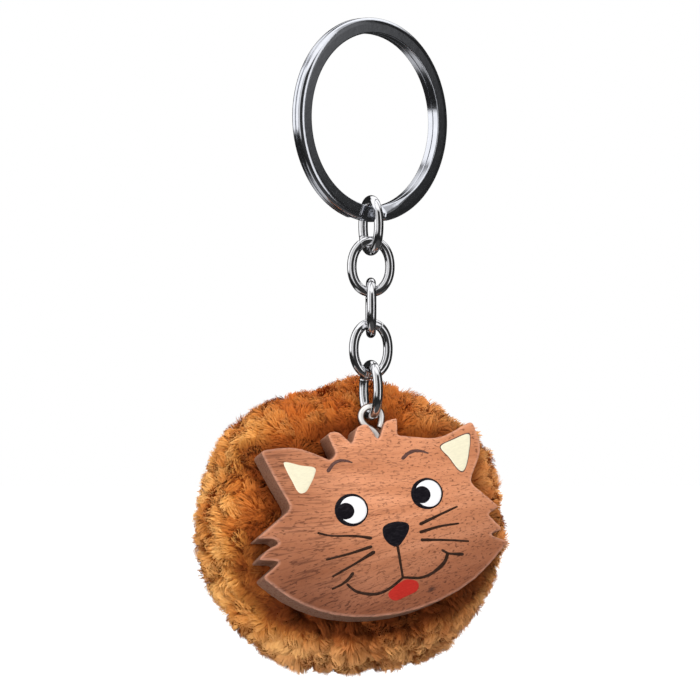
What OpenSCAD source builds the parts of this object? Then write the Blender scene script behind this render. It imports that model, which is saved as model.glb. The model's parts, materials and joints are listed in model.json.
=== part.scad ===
// Keyring charm: a split ring, five oval chain links and a screw eye carry a sawn wooden
// cat face that is glued to the gathered front of a stuffed plush ball.
// Millimetres, +Z up, face towards -Y, origin where the split ring hangs: its inner top.

/* [Split ring] */
// Outside diameter of the split ring
ring_d = 30; // [24:0.5:35]
// Width of the flat ring wire, across the ring
ring_wire_w = 2.3; // [1.6:0.1:2.8]
// Thickness of one coil of the ring
ring_wire_t = 1.1; // [0.8:0.05:1.4]
// Turn of the ring about the vertical
ring_yaw = 31; // [0:1:60]
// Angle right of the bottom where the front coil ends
ring_end_angle = 5.5; // [5:0.5:12]
// Angle that the wire takes to cross from the front coil to the back one
ring_cross_angle = 18; // [14:1:40]

/* [Chain] */
// Diameter of the link wire
link_wire_d = 1.4; // [1.1:0.05:1.6]
// Outside width of a link
link_w = 7; // [6.5:0.1:8]
// Outside length of a link
link_l = 8.9; // [8.2:0.1:10]
// Turn of each link about the vertical, from the ring down
link_yaws = [-78, -12, 80, 14, -80]; // [-90:1:90]

/* [Screw eye] */
// Outside diameter of the eye
eye_d = 3.9; // [3.7:0.1:4.6]
// Diameter of the eye's wire
eye_wire_d = 1; // [0.8:0.05:1.1]
// Length of the thread in the wood
eye_thread_l = 7; // [5:0.5:9]

/* [Wooden face] */
// Thickness of the wood
wood_t = 6.5; // [5:0.5:9]
// Sideways tilt of the hanging face, its right side up
face_roll = 12; // [0:1:20]
// Backward tilt of the hanging face, so that it looks up
face_pitch = 10; // [0:1:20]

/* [Plush ball] */
// Diameter of the ball seen from the front, pile included
ball_d = 44.6; // [40:0.2:50]
// Depth of the ball from front to back
ball_depth = 30; // [24:1:36]
// Thickness of the plush fabric
cover_t = 1.2; // [0.8:0.1:2]
// Thickness of the wad of filling
wad_t = 1; // [0.6:0.1:2]
// Diameter of the gathered mouth at the front of the ball
mouth_d = 9; // [7:0.5:11]

/* [Hidden] */

$fn = 64;
eps = 0.01;
play = 0.05;

// Split ring: radius of the wire's middle, and the ring's centre and lowest wire centre
ring_r = (ring_d - ring_wire_w) / 2;
ring_z = ring_wire_w / 2 - ring_r;
ring_bottom_z = ring_z - ring_r;
coil_gap = 0.04;
ring_edge = 0.7;
groove_edge = 0.15;
end_clearance = 1.5;
crossing_fit = 0.97;
crossing_lap = 1;

// Links: wire radius, and half sizes of the oval middle line
link_r = link_wire_d / 2;
link_a = (link_w - link_wire_d) / 2;
link_b = (link_l - link_wire_d) / 2;

// Heights of the six hinge points: link 1 hangs on the ring's flat wire, whose corners it
// clears at every angle, and each later link hangs on the round wire above it
ring_clear_r = 1.4;
first_drop = 2 * link_b - link_r - ring_clear_r;
link_pitch = 2 * link_b - 2 * link_r - play;
function hinge_z(i) = i == 0 ? ring_bottom_z : ring_bottom_z - first_drop - (i - 1) * link_pitch;

// Height of the middle of link i, whose lower wire is the next hinge point
function link_mid_z(i) = hinge_z(i) + link_b;

// Screw eye: its middle line, and how far its centre lies below the last hinge point
eye_r = (eye_d - eye_wire_d) / 2;
eye_play = 0.1;
eye_drop = eye_r - eye_wire_d / 2 - link_r - eye_play;
eye_tilt = 4;
neck_z = 4;
thread_pitch = 0.8;
thread_d = 1.5;
thread_root_d = 1;
hole_play = 0.04;
seat_play = 0.1;

// Wooden face, measured from the last hinge point: front plane and corners
wood_front_y = -2.25;
corner_steps = 3;

// Corners of the face, clockwise from the left ear: x, z and the length rounded off
face_corners = [
  // left ear
  [-18.1, -1.5, 0.8], [-12.6, -1.9, 3], [-8.1, -5.2, 0.4],
  // three tufts of hair, with the screw eye's notch between the last two
  [-7, -4.4, 0.4], [-7.7, -1, 0.9], [-6, -1.1, 0.7], [-4.3, -3.5, 0.2],
  [-2.9, -1, 0.7], [-1.3, -1, 0.4], [-0.3, -3.9, 0.3],
  [1.3, -1.2, 0.5], [3.3, -1.1, 0.4], [2.7, -3.7, 0.3],
  // top of the head and right ear
  [8.9, -5.6, 2], [14.4, -3.9, 0.8], [14.8, -8.4, 1.5], [11.7, -12.9, 0.9],
  // right cheek with two bites
  [15.2, -17.5, 0.3], [13.2, -18.2, 0.4], [14.9, -20.9, 0.3], [12.6, -21.2, 0.4],
  // chin
  [15.3, -22.9, 0.3], [8, -28.2, 9], [-2.3, -30.2, 9], [-12, -28.6, 9], [-18.5, -24.6, 9],
  // left cheek with two bites
  [-22.2, -20, 0.5], [-19, -18.2, 0.6], [-22.2, -17.3, 0.3], [-20.4, -16, 0.8],
  [-18.4, -15.6, 0.5], [-19.2, -14.7, 0.4], [-21.7, -14.2, 0.2],
  // back up to the ear
  [-15.5, -10.9, 0.9], [-16.8, -6.6, 1.5]
];

// Plush ball: centre of its round outline, its radius and half depth
ball_x = -3.2;
ball_z = -13.1;
ball_mid_y = wood_front_y + wood_t / 2 + ball_depth / 2;
ball_r = ball_d / 2;
ball_half = ball_depth / 2;
ball_power = 2.3;
seat_gap = 0.3;
seat_y = wood_front_y + wood_t + seat_gap;
dimple_y = 2.2;
gather_w = 4;
gather_y = 0.5;
ball_steps = 24;
thread_r = 0.4;
thread_gap = 0.1;
wad_gap = 0.1;

// Sets child 0 turned and tilted as the face hangs, with z = 0 at the last hinge point
module on_face() {
  translate([0, 0, hinge_z(5)])
    rotate([-face_pitch, 0, 0])
      rotate([0, -face_roll, 0])
        children();
}

// Point t of the way along the curve that rounds corner b, from p to q
function bend(p, b, q, t) = (1 - t) ^ 2 * p + 2 * t * (1 - t) * b + t ^ 2 * q;

// Point at a given distance from corner a towards corner b, at most halfway
function along(a, b, distance) =
  let (side = norm(b - a)) a + (b - a) * min(distance / side, 0.5);

// Outline whose corners [x, y, length] are rounded off over that length
function rounded(corners, steps) = [
  for (i = [0 : len(corners) - 1])
    let (
      n = len(corners),
      c = corners[i],
      b = [c[0], c[1]],
      before = corners[(i + n - 1) % n],
      after = corners[(i + 1) % n],
      p = along(b, [before[0], before[1]], c[2]),
      q = along(b, [after[0], after[1]], c[2])
    )
    for (k = [0 : steps]) bend(p, b, q, k / steps)
];

// Cross-section of one coil, on the front side of the plane between the coils, as [x, y]
// points; a fit below 1 shrinks it about its own middle
function coil_outline(fit) =
  let (
    half_w = fit * ring_wire_w / 2,
    margin = (1 - fit) * ring_wire_t / 2,
    low = coil_gap / 2 + margin,
    high = ring_wire_t - margin
  )
  rounded([
    [ring_r - half_w, low, groove_edge],
    [ring_r + half_w, low, groove_edge],
    [ring_r + half_w, high, ring_edge],
    [ring_r - half_w, high, ring_edge]
  ], corner_steps);

// Stretch of wire that steps from the front coil to the back one, let into both ends
module crossing() {
  steps = 12;
  outline = coil_outline(crossing_fit);
  sides = len(outline);
  from = ring_end_angle - 90 - ring_cross_angle - crossing_lap;
  sweep = ring_cross_angle + 2 * crossing_lap;
  points = [
    for (k = [0 : steps])
      let (
        a = from + sweep * k / steps,
        lift = -ring_wire_t * (1 - cos(180 * k / steps)) / 2
      )
      for (p = outline) [p[0] * cos(a), p[0] * sin(a), p[1] + lift]
  ];
  walls = [
    for (k = [0 : steps - 1])
      for (i = [0 : sides - 1])
        let (j = (i + 1) % sides)
        each [
          [k * sides + i, k * sides + j, (k + 1) * sides + j],
          [k * sides + i, (k + 1) * sides + j, (k + 1) * sides + i]
        ]
  ];
  first_end = [for (i = [sides - 1 : -1 : 0]) i];
  last_end = [for (i = [0 : sides - 1]) steps * sides + i];
  polyhedron(points, concat(walls, [first_end, last_end]));
}

// One coil of the ring on the front side of the plane between the coils, from angle a
module coil(a) {
  turn = 360 - ring_cross_angle - end_clearance;
  rotate([0, 0, a])
    rotate_extrude(angle = turn)
      polygon(coil_outline(1));
}

// One wire of nearly two turns: a front coil, a crossing, and a back coil
module key_ring() {
  cross_end = ring_end_angle - 90;
  color("gainsboro")
    translate([0, 0, ring_z])
      rotate([0, 0, ring_yaw])
        rotate([90, 0, 0]) {
          coil(cross_end + end_clearance);
          mirror([0, 0, 1])
            coil(cross_end);
          crossing();
        }
}

// Oval link in the XY plane: two half rings of wire joined by straight sides
module oval_link() {
  side_l = link_l - link_w;
  for (end = [0, 180])
    rotate([0, 0, end]) {
      translate([0, side_l / 2, 0])
        rotate_extrude(angle = 180)
          translate([link_a, 0])
            circle(link_r);
      translate([link_a, side_l / 2, 0])
        rotate([90, 0, 0])
          cylinder(r = link_r, h = side_l);
    }
}

// Link number i of the chain, hanging from hinge point i - 1
module chain_link(i) {
  color("silver")
    translate([0, 0, link_mid_z(i)])
      rotate([90, 0, link_yaws[i - 1]])
        oval_link();
}

// Round thread of nested ridges on the screw eye's shank
module thread_ridges() {
  turns = floor(eye_thread_l / thread_pitch);
  profile = [
    [0, 0],
    for (k = [0 : turns - 1]) each [
      [thread_root_d / 2, -k * thread_pitch],
      [thread_d / 2, -(k + 0.5) * thread_pitch]
    ],
    [0, -(turns + 0.5) * thread_pitch]
  ];
  rotate_extrude()
    polygon(profile);
}

// Places its child on the screw eye's own axis, from the eye's centre
module on_eye() {
  on_face()
    translate([0, 0, -eye_drop])
      rotate([0, -eye_tilt, 0])
        children();
}

// Wire eye, plain neck and threaded shank
module screw_eye() {
  color("silver")
    on_eye() {
      rotate([90, 0, 0])
        rotate_extrude()
          translate([eye_r, 0])
            circle(eye_wire_d / 2);
      translate([0, 0, -neck_z - eps])
        cylinder(d = eye_wire_d, h = neck_z + eps - eye_r);
      translate([0, 0, -neck_z])
        thread_ridges();
    }
}

// Sawn face with the pilot hole for the screw eye, and a slot that seats the round eye
module wooden_face() {
  hole_d = thread_d + hole_play;
  hole_l = eye_thread_l + thread_pitch;
  color("peru")
    difference() {
      on_face()
        translate([0, wood_front_y + wood_t, 0])
          rotate([90, 0, 0])
            linear_extrude(wood_t)
              polygon(rounded(face_corners, corner_steps));
      on_eye() {
        translate([0, 0, -neck_z - hole_l])
          cylinder(d = hole_d, h = hole_l + neck_z - eye_r);
        rotate([90, 0, 0])
          cylinder(d = eye_d + 2 * seat_play, h = eye_wire_d + 2 * seat_play, center = true);
      }
    }
}

// Radius and depth of the ball's surface, a degrees from the rim towards the back
function ball_point(a, inset) = [
  (ball_r - inset) * cos(a) ^ (2 / ball_power),
  sign(a) * (ball_half - inset) * abs(sin(a)) ^ (2 / ball_power)
];

// Half section of the ball, moved in by inset: back pole, rim, flat seat and dimple
function ball_profile(inset) =
  let (
    seat = seat_y - ball_mid_y + inset,
    mouth_r = mouth_d / 2,
    shell = [
      for (k = [0 : ball_steps])
        let (p = ball_point(90 - k * 180 / ball_steps, inset))
        if (p[1] > seat) p
    ],
    seat_r = (ball_r - inset) * (1 - abs(seat / (ball_half - inset)) ^ ball_power) ^ (1 / ball_power)
  )
  concat(shell, [[seat_r, seat], [mouth_r + gather_w, seat + gather_y], [mouth_r, seat + dimple_y]]);

// Places its child on the ball's front-to-back axis, with z towards the back
module on_ball() {
  on_face()
    translate([ball_x, ball_mid_y, ball_z])
      rotate([-90, 0, 0])
        children();
}

// Round of plush fabric drawn together at the front
module plush_cover() {
  outside = ball_profile(0);
  inside = ball_profile(cover_t);
  color("chocolate")
    on_ball()
      rotate_extrude()
        polygon(concat(outside, [for (k = [len(inside) - 1 : -1 : 0]) inside[k]]));
}

// Light wad of fibre that lines the cover
module stuffing() {
  outer = cover_t + wad_gap;
  color("ivory")
    on_ball()
      rotate_extrude()
        difference() {
          polygon(concat(ball_profile(outer), [[0, seat_y - ball_mid_y + outer + dimple_y]]));
          polygon(concat(
            ball_profile(outer + wad_t),
            [[0, seat_y - ball_mid_y + outer + wad_t + dimple_y]]
          ));
        }
}

// Drawn thread that holds the mouth of the cover closed
module gathering_thread() {
  color("saddlebrown")
    on_ball()
      translate([0, 0, seat_y - ball_mid_y + dimple_y])
        rotate_extrude()
          translate([mouth_d / 2 - thread_r - thread_gap, 0])
            circle(thread_r);
}

// Set glue between the back of the wood and the gathered mouth
module glue_pad() {
  pad_d = mouth_d + 2 * gather_w;
  color("wheat")
    on_face()
      translate([ball_x, wood_front_y + wood_t, ball_z])
        rotate([-90, 0, 0])
          cylinder(d = pad_d, h = seat_gap);
}

key_ring();
chain_link(1);  // chain_link_1
chain_link(2);  // chain_link_2
chain_link(3);  // chain_link_3
chain_link(4);  // chain_link_4
chain_link(5);  // chain_link_5
screw_eye();
wooden_face();
plush_cover();
stuffing();
gathering_thread();
glue_pad();
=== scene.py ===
"""Looks for the keyring charm: plated metal, a sawn and painted wooden face, a plush ball.

Lengths are millimetres until `make` turns them into metres. Points on the head are given in
the head's own frame: x to its right, y into it, z up, from the hinge that it hangs on.
"""

import json
import math

import bpy
import numpy as np
from mathutils import Matrix, Vector
from mathutils.bvhtree import BVHTree
from mathutils.kdtree import KDTree


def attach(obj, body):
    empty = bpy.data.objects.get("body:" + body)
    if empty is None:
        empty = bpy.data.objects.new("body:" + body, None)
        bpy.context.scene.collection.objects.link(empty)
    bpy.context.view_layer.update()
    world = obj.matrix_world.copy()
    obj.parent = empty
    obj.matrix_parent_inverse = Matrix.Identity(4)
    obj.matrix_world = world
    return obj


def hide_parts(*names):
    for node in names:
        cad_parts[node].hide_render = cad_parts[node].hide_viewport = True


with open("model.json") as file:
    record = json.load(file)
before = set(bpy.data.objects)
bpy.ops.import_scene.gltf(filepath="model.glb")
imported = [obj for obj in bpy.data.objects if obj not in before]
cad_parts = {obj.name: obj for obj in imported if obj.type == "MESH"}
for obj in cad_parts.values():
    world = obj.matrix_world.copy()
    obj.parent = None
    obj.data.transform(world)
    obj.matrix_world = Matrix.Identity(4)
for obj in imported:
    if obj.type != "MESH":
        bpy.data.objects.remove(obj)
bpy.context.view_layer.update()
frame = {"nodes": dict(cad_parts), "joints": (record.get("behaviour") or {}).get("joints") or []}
scene = bpy.context.scene

MM = 0.001
TURN = 2 * math.pi
UP = np.array([0, 0, 1.0])
rng = np.random.default_rng(11)

# ---- places in the frame

joints = {j["name"]: j for j in frame["joints"]}
LINK_COUNT = 5
link_hinges = [np.array(joints[f"link_{i}_swing"]["pos_m"]) / MM for i in range(1, LINK_COUNT + 1)]
head_hinge = np.array(joints["head_swing"]["pos_m"]) / MM
link_ends = link_hinges[1:] + [head_hinge]

HEAD_PITCH = math.radians(-10)
HEAD_ROLL = math.radians(-12)
head_turn = np.array(
    Matrix.Rotation(HEAD_PITCH, 3, "X") @ Matrix.Rotation(HEAD_ROLL, 3, "Y")
)


def on_head(points):
    """Points of the head's own frame, in the part's frame."""
    return np.asarray(points, float) @ head_turn.T + head_hinge


def from_head(points):
    """Points of the part's frame, in the head's own frame."""
    return (np.asarray(points, float) - head_hinge) @ head_turn


# ---- meshes


def make(name, points, faces, material, body, attributes, replaces=(), normals=None):
    """A mesh piece from points in mm of the part's frame, riding on a body."""
    mesh = bpy.data.meshes.new(name)
    flat = np.concatenate([np.asarray(f, np.int32).ravel() for f in faces])
    sizes = np.concatenate([np.full(len(f), len(f[0]), np.int32) for f in faces])
    starts = np.concatenate([[0], np.cumsum(sizes)[:-1]]).astype(np.int32)
    mesh.vertices.add(len(points))
    mesh.vertices.foreach_set("co", (np.asarray(points, np.float32) * MM).ravel())
    mesh.loops.add(len(flat))
    mesh.loops.foreach_set("vertex_index", flat)
    mesh.polygons.add(len(sizes))
    mesh.polygons.foreach_set("loop_start", starts)
    mesh.update(calc_edges=True)
    mesh.shade_smooth()
    if normals is not None:
        mesh.normals_split_custom_set_from_vertices(np.asarray(normals, np.float32))
    add_attributes(mesh, attributes)
    mesh.materials.append(material)
    piece = bpy.data.objects.new(name, mesh)
    scene.collection.objects.link(piece)
    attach(piece, body)
    if replaces:
        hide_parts(*replaces)
    return piece


def add_attributes(mesh, attributes):
    """Vertex attributes: (n, 3) arrays become vectors and (n,) arrays become numbers."""
    for key, values in attributes.items():
        values = np.asarray(values, np.float32)
        kind, field = ("FLOAT_VECTOR", "vector") if values.ndim == 2 else ("FLOAT", "value")
        mesh.attributes.new(key, kind, "POINT").data.foreach_set(field, values.ravel())


def unit(vectors):
    """The same vectors with length one."""
    return vectors / np.maximum(np.linalg.norm(vectors, axis=-1, keepdims=True), 1e-9)


def ease(x):
    """0 to 1 with level ends."""
    x = np.clip(x, 0, 1)
    return x * x * (3 - 2 * x)


def kd_tree(points):
    """A search tree over points."""
    tree = KDTree(len(points))
    for index, p in enumerate(points):
        tree.insert(p, index)
    tree.balance()
    return tree


def spline(points, steps, closed=False):
    """A smooth Catmull-Rom curve through the points, steps to each span."""
    points = np.asarray(points, float)
    if closed:
        ring = np.vstack([points[-1], points, points[:2]])
    else:
        ring = np.vstack([2 * points[0] - points[1], points, 2 * points[-1] - points[-2]])
    t = (np.arange(steps) / steps)[:, None]
    spans = []
    for a, b, c, d in zip(ring, ring[1:], ring[2:], ring[3:]):
        spans.append(
            b + 0.5 * t * (c - a)
            + t**2 * (a - 2.5 * b + 2 * c - 0.5 * d)
            + t**3 * (1.5 * (b - c) + 0.5 * (d - a))
        )
    if not closed:
        spans.append(points[-1:])
    return np.vstack(spans)


def tangents(path, closed=False):
    """Unit directions along a path."""
    if closed:
        return unit(np.roll(path, -1, 0) - np.roll(path, 1, 0))
    return unit(np.gradient(path, axis=0))


def grid_faces(rows, columns, wrap_rows=False, wrap_columns=True):
    """Quads over a grid of points, row by row."""
    r = np.arange(rows if wrap_rows else rows - 1)[:, None]
    c = np.arange(columns if wrap_columns else columns - 1)[None, :]
    r2, c2 = (r + 1) % rows, (c + 1) % columns
    quads = np.stack(np.broadcast_arrays(
        r * columns + c, r * columns + c2, r2 * columns + c2, r2 * columns + c
    ), -1)
    return quads.reshape(-1, 4)


def capped(grid, tip):
    """Points and faces of a wrapped grid whose last row is closed with a fan to a tip."""
    rows, columns = grid.shape[:2]
    points = np.vstack([grid.reshape(-1, 3), tip])
    last = (rows - 1) * columns
    i = np.arange(columns)
    fan = np.column_stack([last + i, last + (i + 1) % columns, np.full(columns, len(points) - 1)])
    return points, [grid_faces(rows, columns), fan]


def sweep(path, side, up, sections, closed=False):
    """Points and faces of sections (rings, sides, 2) carried along a path, with end caps.

    Their first axis follows side, which is given at each point, and their second axis is up.
    """
    rings, sides = sections.shape[:2]
    points = path[:, None] + sections[..., :1] * side[:, None] + sections[..., 1:] * up
    faces = [grid_faces(rings, sides, wrap_rows=closed)]
    if not closed:
        cap = np.arange(sides)[None]
        faces += [cap[:, ::-1], cap + (rings - 1) * sides]
    return points.reshape(-1, 3), faces


def circle(sides):
    """Points of a circle of radius one."""
    a = np.arange(sides) * TURN / sides
    return np.stack([np.cos(a), np.sin(a)], -1)


def turned(yaw):
    """Unit vectors across and out of an upright plane that is turned by yaw."""
    c, s = math.cos(yaw), math.sin(yaw)
    return np.array([c, s, 0]), np.array([s, -c, 0])


# ---- materials


def node(kind, sockets, tree=None, **settings):
    """A shader node with its settings, its inputs taken from sockets or constants.

    It joins the tree that is given, or else the one that its sockets belong to.
    """
    linked = {key: v for key, v in sockets.items() if isinstance(v, bpy.types.NodeSocket)}
    tree = tree or next(iter(linked.values())).id_data
    made = tree.nodes.new("ShaderNode" + kind)
    for key, value in settings.items():
        setattr(made, key, value)
    for key, value in sockets.items():
        if key in linked:
            tree.links.new(value, made.inputs[key])
        else:
            made.inputs[key].default_value = value
    return made


def new_material(name, **inputs):
    """A Principled material, with constants set on its own sockets; returns it and its shader."""
    material = bpy.data.materials.new(name)
    material.use_nodes = True
    shader = material.node_tree.nodes["Principled BSDF"]
    for key, value in inputs.items():
        shader.inputs[key.replace("_", " ").title().replace("Ior", "IOR")].default_value = value
    return material, shader


def plug(shader, **sockets):
    """Links sockets to a shader's inputs, named with _ for each space."""
    for key, socket in sockets.items():
        shader.id_data.links.new(socket, shader.inputs[key.replace("_", " ")])


def attribute(shader, name, output="Vector"):
    """Socket of a vertex attribute, in a shader's own tree."""
    return node("Attribute", {}, shader.id_data, attribute_name=name).outputs[output]


def stretched(vector, scale, shift=(0, 0, 0)):
    """The vector multiplied by scale, then shifted."""
    return node("Mapping", {"Vector": vector, "Location": shift, "Scale": scale}).outputs[0]


def noise(vector, scale, detail, rough=0.5, distortion=0.0):
    """Socket of a noise pattern between 0 and 1."""
    return node("TexNoise", {
        "Vector": vector, "Scale": scale, "Detail": detail, "Roughness": rough,
        "Distortion": distortion,
    }).outputs["Fac"]


def ramp(factor, stops):
    """Colours by factor: stops are (position, colour) or (position, grey)."""
    made = node("ValToRGB", {"Fac": factor})
    elements = made.color_ramp.elements
    while len(elements) < len(stops):
        elements.new(0.5)
    for element, (position, colour) in zip(elements, stops):
        element.position = position
        rgb = colour if isinstance(colour, tuple) else (colour,) * 3
        element.color = (*rgb, 1)
    return made.outputs["Color"]


def mix(factor, a, b, blend="MIX"):
    """Colour a turned into b by factor."""
    a, b = ((*colour, 1) if isinstance(colour, tuple) else colour for colour in (a, b))
    return node("Mix", {0: factor, 6: a, 7: b}, data_type="RGBA", blend_type=blend).outputs[2]


def maths(operation, a, b, c=0.0, clamp=False):
    """Socket of a and b, and in some operations c, combined."""
    return node("Math", {0: a, 1: b, 2: c}, operation=operation, use_clamp=clamp).outputs[0]


def times(a, b, clamp=False):
    """Socket of a times b."""
    return maths("MULTIPLY", a, b, clamp=clamp)


def plus(a, b):
    """Socket of a plus b."""
    return maths("ADD", a, b)


def between(value, start, end, low=0.0, high=1.0, kind="LINEAR"):
    """Socket that goes from low to high while value goes from start to end."""
    return node("MapRange", {
        "Value": value, "From Min": start, "From Max": end, "To Min": low, "To Max": high,
    }, interpolation_type=kind).outputs[0]


def bump(height, depth, strength=1.0):
    """Normal socket for a height pattern of a given depth in mm."""
    sockets = {"Height": height, "Distance": depth * MM, "Strength": strength}
    return node("Bump", sockets).outputs[0]


def scaled(colour, by):
    """A colour multiplied by a number."""
    return tuple(by * c for c in colour)


def metal(name, colour, roughness, scratches, ripples, metallic=1.0, painted_edge_reflection=None):
    """Bright plating: small ripples, uneven polish, fine scratches and perhaps a painted edge
    reflection, a dark colour at grazing angles.
    """
    material, shader = new_material(name, metallic=metallic)
    place = attribute(shader, "place")
    cloud = noise(place, 0.9, 4, 0.6)
    hair = noise(stretched(place, (1.2, 9, 3)), 1.5, 4, 0.6, 0.4)
    specks = ramp(noise(place, 5, 2), [(0.66, 0.0), (0.74, 1.0)])
    tint = mix(cloud, scaled(colour, 0.72), colour)
    tint = mix(times(specks, 0.25), tint, scaled(colour, 0.6))
    if painted_edge_reflection:
        # Painted reflection: the colour turns dark brown towards grazing angles, as the wire would
        # mirror the fur and the wood there.
        facing = node("LayerWeight", {"Blend": 0.5}, shader.id_data).outputs["Facing"]
        tint = mix(ramp(facing, [(0.10, 0.0), (0.38, 1.0)]), tint, painted_edge_reflection)
    polish = plus(times(cloud, 0.09), roughness)
    plug(
        shader,
        Base_Color=tint,
        Roughness=plus(polish, times(hair, scratches)),
        Normal=bump(plus(times(hair, 0.12), cloud), ripples),
    )
    return material


ring_metal = metal("nickel_ring", (0.78, 0.80, 0.86), 0.05, 0.05, 0.010)
link_metal = metal("nickel_links", (0.86, 0.86, 0.88), 0.03, 0.03, 0.02)
# The eye's last colour is its painted dark edge reflection.
eye_metal = metal("nickel_eye", (1.0, 0.98, 0.95), 0.08, 0.04, 0.008, 0.45, (0.11, 0.05, 0.03))

# ---- split ring

RING_YAW = math.radians(31)
RING_R = 13.85
RING_Z = -12.7
RING_WIDTH = 2.3
COIL = 1.1
GROOVE = 0.03
# Degrees round the ring: its two ends, the crossing between its turns, and the tapers.
RING_END = 7.0
CROSS_FROM = 12.5
CROSS_TO = 5.5
BACK_END = 14.0
TAPER = 30.0
BACK_TAPER = 10.0
RING_STEPS = 380
# Millimetres at the corners of the wire's section.
EDGE_HOLD = 0.03
OUTER_ROUND = 0.16
OUTER_EXTRA = 0.76
OUTER_DEPTH = 0.62
INNER_ROUND = 0.12
INNER_EXTRA = 0.06
BEVEL_LAND_W = 0.15
BEVEL_LAND_D = 0.25


def corner(tip, along, across, bulge):
    """Points that round a corner: its tip, the two ways off it, and how full it is."""
    a, b = tip + along, tip + across
    middle = (a + b) / 2
    control = middle + (tip - middle) * bulge
    t = np.array([0.0, 0.2, 0.4, 0.6, 0.8, 1.0])[:, None]
    bend = (1 - t) ** 2 * a + 2 * t * (1 - t) * control + t**2 * b
    return np.vstack([a + unit(along) * EDGE_HOLD, bend, b + unit(across) * EDGE_HOLD])


def coil_middle(layer):
    """How far in front of the ring's middle plane the middle of the wire is."""
    return (COIL + GROOVE) / 2 * (1 - 2 * layer)


def coil_section(layer, bevel):
    """Section of the flat wire, layer 0 in front and 1 behind, its inner side cut by a bevel."""
    half = RING_WIDTH / 2
    low = coil_middle(layer) - (COIL - GROOVE) / 2
    high = low + COIL - GROOVE
    showing = np.array([1 - layer, layer])
    outer_front, outer_back = OUTER_ROUND + OUTER_EXTRA * showing
    inner_front, inner_back = INNER_ROUND + INNER_EXTRA * showing
    cut_w = inner_front + (RING_WIDTH - outer_front - BEVEL_LAND_W - inner_front) * bevel
    cut_d = inner_front * 0.9 + (COIL - BEVEL_LAND_D - inner_front) * bevel
    corners = [
        ((half, high), (0, -outer_front * OUTER_DEPTH), (-outer_front, 0), 0.8),
        ((-half, high), (cut_w, 0), (0, -cut_d), 1 - 0.9 * bevel),
        ((-half, low), (0, inner_back * 0.8), (inner_back, 0), 1.0),
        ((half, low), (-outer_back, 0), (0, outer_back * OUTER_DEPTH), 0.8),
    ]
    return np.vstack([corner(*map(np.array, places), bulge) for *places, bulge in corners])


def split_ring():
    """Flat wire wound nearly twice: in front from its bevelled end, then behind."""
    total = 2 * 360 - RING_END - BACK_END
    from_tip = np.array([0.0, 0.25, 0.6, 1.1])
    travelled = np.concatenate([
        from_tip, np.linspace(1.8, total - 1.8, RING_STEPS), total - from_tip[::-1],
    ])
    cross_start = 360 - RING_END - CROSS_FROM
    layer = ease((travelled - cross_start) / (CROSS_FROM + CROSS_TO))
    bevel = ease(1 - travelled / TAPER) ** 1.3
    from_end = total - travelled
    shrink = np.minimum(
        0.55 + 0.45 * np.sqrt(np.clip(travelled / 2.2, 0, 1)),
        0.6 + 0.4 * np.sqrt(np.clip(from_end / 2.2, 0, 1)),
    )
    thin = 1 - 0.35 * ease(1 - from_end / BACK_TAPER)
    angle = np.radians(travelled - 90 + RING_END)
    across, forward = turned(RING_YAW)
    out = np.cos(angle)[:, None] * across + np.sin(angle)[:, None] * UP
    sections = np.stack([coil_section(a, b) for a, b in zip(layer, bevel)])
    middle = coil_middle(layer)[:, None]
    sections[..., 1] = middle + (sections[..., 1] - middle) * (shrink * thin)[:, None]
    tip = (1 - shrink)[:, None]
    sections[..., 0] = sections[..., 0] * (1 - tip) + tip * 0.35
    path = RING_Z * UP + out * RING_R
    points, faces = sweep(path, out, forward, sections)
    make("split_ring", points, faces, ring_metal, "ring",
         replaces=["key_ring"], attributes={"place": points})


split_ring()

# ---- chain links

LINK_YAWS = [-78, -12, 80, 14, -80]
LINK_A = 2.8
LINK_B = 3.75
LINK_WIRE = 0.7
SEAM_AT = [205, 118, 25, 62, 155]
SEAM_DEPTH = 0.13
SEAM_WIDTH = 0.010
OVAL_POWER = 2.12


def oval(angles):
    """Middle line of a link: an oval a little fuller than an ellipse."""
    c, s = np.cos(angles), np.sin(angles)
    return np.stack([
        LINK_A * np.sign(c) * np.abs(c) ** (2 / OVAL_POWER),
        LINK_B * np.sign(s) * np.abs(s) ** (2 / OVAL_POWER),
    ], -1)


def chain_link(i):
    """One oval of round wire, its two ends butted together at a fine seam."""
    seam = math.radians(SEAM_AT[i])
    near = seam + np.array([-0.05, -0.022, -0.008, 0, 0.008, 0.022, 0.05])
    angles = np.sort(np.concatenate([
        [a for a in np.arange(120) * TURN / 120 + 0.01 if abs(a - seam) > 0.07], near,
    ]))
    flat = oval(angles)
    heading = tangents(flat, closed=True)
    outward = np.stack([heading[:, 1], -heading[:, 0]], -1)
    across, forward = turned(math.radians(LINK_YAWS[i]))
    middle = link_ends[i][2] + LINK_B
    path = flat[:, :1] * across + (flat[:, 1:] + middle) * UP
    side = outward[:, :1] * across + outward[:, 1:] * UP
    thick = LINK_WIRE * (1 - SEAM_DEPTH * np.exp(-(((angles - seam) / SEAM_WIDTH) ** 2)))
    sections = circle(28) * thick[:, None, None]
    points, faces = sweep(path, side, forward, sections, closed=True)
    make(f"oval_link_{i + 1}", points, faces, link_metal, f"link_{i + 1}",
         replaces=[f"chain_link_{i + 1}"], attributes={"place": points})


for i in range(LINK_COUNT):
    chain_link(i)

# ---- screw eye

EYE_R = 1.55
EYE_WIRE = 0.5
EYE_Z = -0.15
EYE_TILT = math.radians(-4)
SHANK_Z = -4.0
THREAD_L = 7.0
THREAD_PITCH = 0.8
THREAD_ROOT = 0.52
THREAD_DEPTH = 0.22

eye_turn = np.array(Matrix.Rotation(EYE_TILT, 3, "Y"))


def on_eye(points):
    """Points about the eye's centre, in the part's frame."""
    return on_head(points @ eye_turn.T + EYE_Z * UP)


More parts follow.
